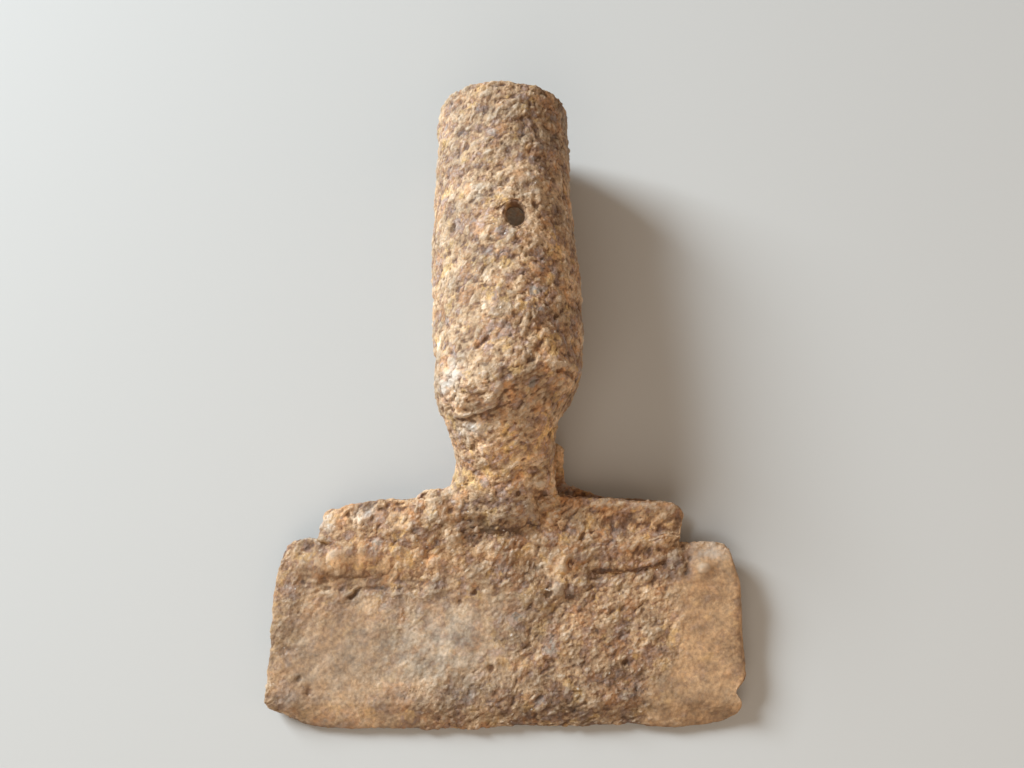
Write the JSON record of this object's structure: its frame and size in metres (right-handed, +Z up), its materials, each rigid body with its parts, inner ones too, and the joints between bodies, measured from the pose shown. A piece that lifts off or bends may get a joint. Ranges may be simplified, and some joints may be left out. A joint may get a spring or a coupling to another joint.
{
  "type": "socketed scraper head",
  "caption": "Rusted hand-forged tool head: a rolled handle socket with a nail hole, necking down to lapped shoulder plates that carry a wide, low blade.",
  "frame": {"origin": "under the middle of the head, on the surface that it lies on face up", "axes": "+Z up, out of the blade's front face side; +Y along the socket towards its mouth; +X across the blade, to the right as the cutting edge faces the viewer"},
  "size_m": [0.1096, 0.1512, 0.036],
  "materials": {
    "rusted_socket": "thick crusted orange-brown rust on forged iron",
    "rusted_shoulder": "dark crusted and flaking rust on forged iron plate",
    "rusted_blade": "smoother sandy tan rust with a greyish patch on forged iron plate",
    "rusted_edge": "pitted tan rust on a worn steel edge"
  },
  "bodies": {
    "root": {"socket_forging": "rusted_socket", "front_shoulder_plate": "rusted_shoulder", "rear_shoulder_plate": "rusted_shoulder", "blade_plate": "rusted_blade", "cutting_edge_strip": "rusted_edge"}
  },
  "joints": []
}
